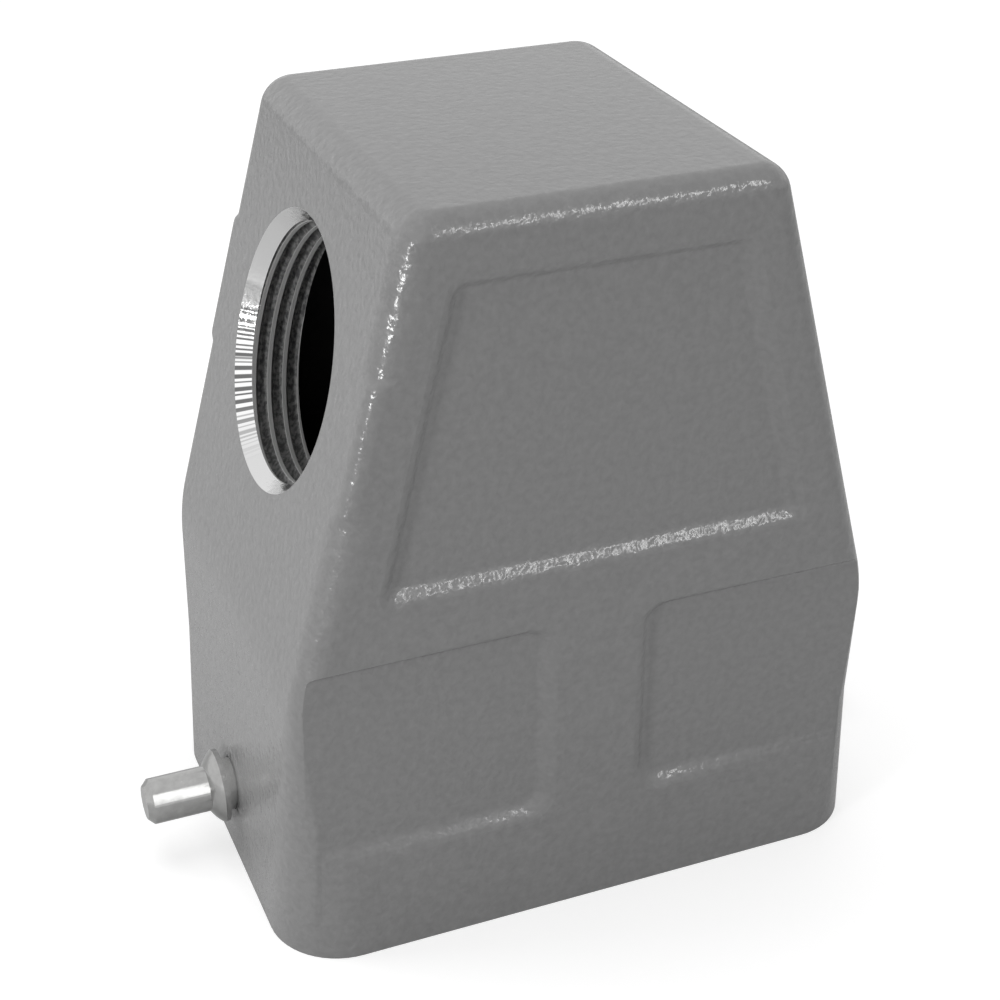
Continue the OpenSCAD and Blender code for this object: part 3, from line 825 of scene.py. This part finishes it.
    # thread: crests painted lighter as a painted highlight, darker blotched flanks and roots
    flank_shade = add_node(
        tree, "ShaderNodeMix",
        {"Factor": ramps["blotch"], "A": colour("#545455"), "B": colour("#8a8a89")},
        data_type="RGBA",
    )
    thread_shade = add_node(
        tree, "ShaderNodeMix",
        {
            "Factor": ramps["flank"], "A": colour("#c4c4c3"),
            "B": flank_shade.outputs["Result"],
        },
        data_type="RGBA",
    )
    shade = add_node(
        tree, "ShaderNodeMix",
        {
            "Factor": ramps["thread"], "A": chamfer_shade.outputs["Result"],
            "B": thread_shade.outputs["Result"],
        },
        data_type="RGBA",
    )
    bump = add_node(
        tree, "ShaderNodeBump",
        {"Height": blotches.outputs["Fac"], "Strength": 0.5, "Distance": 0.06 * MM},
    )
    tree.links.new(bump.outputs["Normal"], shader.inputs["Normal"])
    tree.links.new(shade.outputs["Result"], shader.inputs["Base Color"])
    # clean metal on the chamfer, a film of oil and dirt over the thread
    for socket, on_chamfer, on_thread in (
        ("Roughness", 0.16, 0.35), ("Metallic", 1.0, 0.35)
    ):
        film = add_node(
            tree, "ShaderNodeMapRange",
            {"Value": ramps["thread"], "To Min": on_chamfer, "To Max": on_thread},
            interpolation_type="SMOOTHSTEP",
        )
        tree.links.new(film.outputs["Result"], shader.inputs[socket])
    return made


def plain_metal(name, light, dark, rough):
    """Plated or rolled metal: clear reflections with faint cloudy marks."""
    made, tree, shader, at = finish_named(name)
    # clouds about 0.8 mm across, left by the bath or the rolls
    marks = add_node(
        tree, "ShaderNodeTexNoise", {"Vector": at, "Scale": 1.2, "Detail": 4.0}
    )
    shade = add_node(
        tree, "ShaderNodeMix",
        {"Factor": marks.outputs["Fac"], "A": colour(dark), "B": colour(light)},
        data_type="RGBA",
    )
    bump = add_node(
        tree, "ShaderNodeBump",
        {"Height": marks.outputs["Fac"], "Strength": 0.2, "Distance": 0.02 * MM},
    )
    tree.links.new(shade.outputs["Result"], shader.inputs["Base Color"])
    tree.links.new(bump.outputs["Normal"], shader.inputs["Normal"])
    shader.inputs["Metallic"].default_value = 1.0
    shader.inputs["Roughness"].default_value = rough
    return made


def black_moulding():
    """Black glass-filled polycarbonate, injection moulded: fine even sheen."""
    made, tree, shader, at = finish_named("black_moulded_polycarbonate")
    # grain of the mould's sparked steel, about 0.25 mm
    grain = add_node(
        tree, "ShaderNodeTexNoise", {"Vector": at, "Scale": 4.0, "Detail": 2.0}
    )
    bump = add_node(
        tree, "ShaderNodeBump",
        {"Height": grain.outputs["Fac"], "Strength": 0.3, "Distance": 0.03 * MM},
    )
    shade = add_node(
        tree, "ShaderNodeMix",
        {"Factor": grain.outputs["Fac"], "A": colour("#0b0b0c"), "B": colour("#131314")},
        data_type="RGBA",
    )
    tree.links.new(bump.outputs["Normal"], shader.inputs["Normal"])
    tree.links.new(shade.outputs["Result"], shader.inputs["Base Color"])
    shader.inputs["Roughness"].default_value = 0.45
    shader.inputs["IOR"].default_value = 1.58
    return made


# ---------- stage, light and camera ----------

FLOOR_SIZE = 6.0
FLOOR_LIFT = 0.5  # glow that only the camera sees, so that the floor runs out to white
AMBIENT = 0.32  # strength of the room's white light on what isn't seen or mirrored

# name, direction from the part, distance and size in metres, radiance, lean in degrees
# about its own axis, and whether the part mirrors it
LAMPS = (
    ("lamp_left", (-0.88, -0.42, 0.12), 0.35, (0.05, 0.05), 42.0, 0.0, True),
    ("lamp_strip", (0.401, -0.749, 0.527), 1.0, (0.045, 0.36), 30.0, 47.5, True),
    ("lamp_card", (0.12, -0.80, 0.60), 0.8, (0.07, 0.8), 2.2, 0.0, True),
    ("fill_over", (0.0, 0.15, 1.0), 0.9, (0.8, 0.8), 1.75, 0.0, False),
    ("fill_back", (-0.85, 0.42, 0.30), 0.6, (0.3, 0.3), 4.2, 0.0, False),
)

# the camera's angles in degrees
AZIMUTH = -22.159
ELEVATION = 29.404
ROLL = 0.052
# in millimetres, how far it stands from the point that it looks at, that point's shift
# to the right and its height, the focal length and the sensor's width
CAMERA_DISTANCE = 190.093
AIM_SIDE = -0.932
AIM_HEIGHT = 32.484
LENS = 70.579
SENSOR = 36.0
# in metres, the nearest and furthest that it sees
CLIP_START = 0.01
CLIP_END = 20.0


def build_floor():
    """Pale matt floor, which the camera sees lifted towards white."""
    floor = begin(bpy.ops.mesh.primitive_plane_add, "floor", size=FLOOR_SIZE)
    made = bpy.data.materials.new("pale_table")
    made.use_nodes = True
    tree = made.node_tree
    tree.nodes.remove(tree.nodes["Principled BSDF"])
    ray = add_node(tree, "ShaderNodeLightPath").outputs["Is Camera Ray"]
    matt = add_node(tree, "ShaderNodeBsdfDiffuse", {"Color": colour("#dcdcdc")})
    lift = add_node(
        tree, "ShaderNodeEmission", {"Color": (1, 1, 1, 1), "Strength": FLOOR_LIFT}
    )
    seen = add_node(
        tree, "ShaderNodeAddShader", {0: matt.outputs["BSDF"], 1: lift.outputs["Emission"]}
    )
    mixed = add_node(
        tree, "ShaderNodeMixShader",
        {"Fac": ray, 1: matt.outputs["BSDF"], 2: seen.outputs["Shader"]},
    )
    tree.links.new(mixed.outputs["Shader"], tree.nodes["Material Output"].inputs["Surface"])
    floor.data.materials.append(made)


def build_world():
    """White room at full strength where it is seen or mirrored, dim where it lights."""
    world = bpy.data.worlds.new("studio")
    bpy.context.scene.world = world
    world.use_nodes = True
    tree = world.node_tree
    rays = add_node(tree, "ShaderNodeLightPath")
    seen = rays.outputs["Is Camera Ray"]
    for ray in ("Is Glossy Ray", "Is Transmission Ray"):
        either = add_node(
            tree, "ShaderNodeMath", {0: seen, 1: rays.outputs[ray]}, operation="MAXIMUM"
        )
        seen = either.outputs["Value"]
    strength = add_node(tree, "ShaderNodeMix", {"Factor": seen, "A": AMBIENT, "B": 1.0})
    tree.links.new(strength.outputs["Result"], tree.nodes["Background"].inputs["Strength"])
    tree.nodes["Background"].inputs["Color"].default_value = (1, 1, 1, 1)


def build_lights():
    """Area lamps that face the part; a radiance of 1 is a white card. A lamp that isn't
    mirrored only fills, and leaves no highlight."""
    for name, toward, distance, size, radiance, lean, in_reflections in LAMPS:
        made = bpy.data.lights.new(name, "AREA")
        made.shape = "RECTANGLE"
        made.size, made.size_y = size
        made.energy = radiance * math.pi * size[0] * size[1]
        lamp = bpy.data.objects.new(name, made)
        bpy.context.scene.collection.objects.link(lamp)
        away = Vector(toward).normalized()
        lamp.location = Vector((0, 0, HEIGHT * MM / 2)) + away * distance
        turn = away.to_track_quat("Z", "Y") @ Quaternion((0, 0, 1), -math.radians(lean))
        lamp.rotation_euler = turn.to_euler()
        lamp.visible_glossy = in_reflections


def build_camera():
    """Camera above the entry end, looking down on the front long side."""
    azimuth, elevation, roll = (math.radians(a) for a in (AZIMUTH, ELEVATION, ROLL))
    right = Vector((math.cos(azimuth), math.sin(azimuth), 0))
    back = Vector(
        (
            math.sin(azimuth) * math.cos(elevation),
            -math.cos(azimuth) * math.cos(elevation),
            math.sin(elevation),
        )
    )
    made = bpy.data.cameras.new("camera")
    made.lens = LENS
    made.sensor_width = SENSOR
    made.clip_start = CLIP_START
    made.clip_end = CLIP_END
    camera = bpy.data.objects.new("camera", made)
    bpy.context.scene.collection.objects.link(camera)
    aim = right * AIM_SIDE + Vector((0, 0, AIM_HEIGHT))
    camera.location = (aim + back * CAMERA_DISTANCE) * MM
    turn = back.to_track_quat("Z", "Y") @ Quaternion((0, 0, 1), roll)
    camera.rotation_euler = turn.to_euler()
    bpy.context.scene.camera = camera


# ---------- the part ----------

build_hood(grey_powder_coat(), painted_shade_inside())
build_thread(machined_aluminium())

# nickel plate is bright and neutral, zinc a little duller and bluer, silver plate warm
# and soft, and stainless strip keeps the faint warm grey of the rolls
nickel_plate = plain_metal("nickel_plated_steel", "#bdbdbc", "#9d9d9c", 0.14)
zinc_plate = plain_metal("zinc_plated_steel", "#c6c9cc", "#aeb1b4", 0.28)
silver_plate = plain_metal("silver_plated_brass", "#e2ddd2", "#c9c3b6", 0.25)
spring_steel = plain_metal("stainless_strip", "#cfccc4", "#bab7b0", 0.25)

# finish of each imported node, by the first words of its name
NODE_FINISH = {
    "peg": nickel_plate,
    "insert_body": black_moulding(),
    "contact": silver_plate,
    "wire_guard": spring_steel,
    "terminal_screws": zinc_plate,
    "earth_plate": zinc_plate,
    "earth_clamp": zinc_plate,
    "earth_screws": zinc_plate,
    "fixing_screws": zinc_plate,
}
for node_name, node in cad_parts.items():
    for start, finish in NODE_FINISH.items():
        if node_name.startswith(start):
            node.data.materials.clear()
            node.data.materials.append(finish)

build_floor()
build_world()
build_lights()
build_camera()

scene = bpy.context.scene
scene.view_settings.view_transform = "Standard"
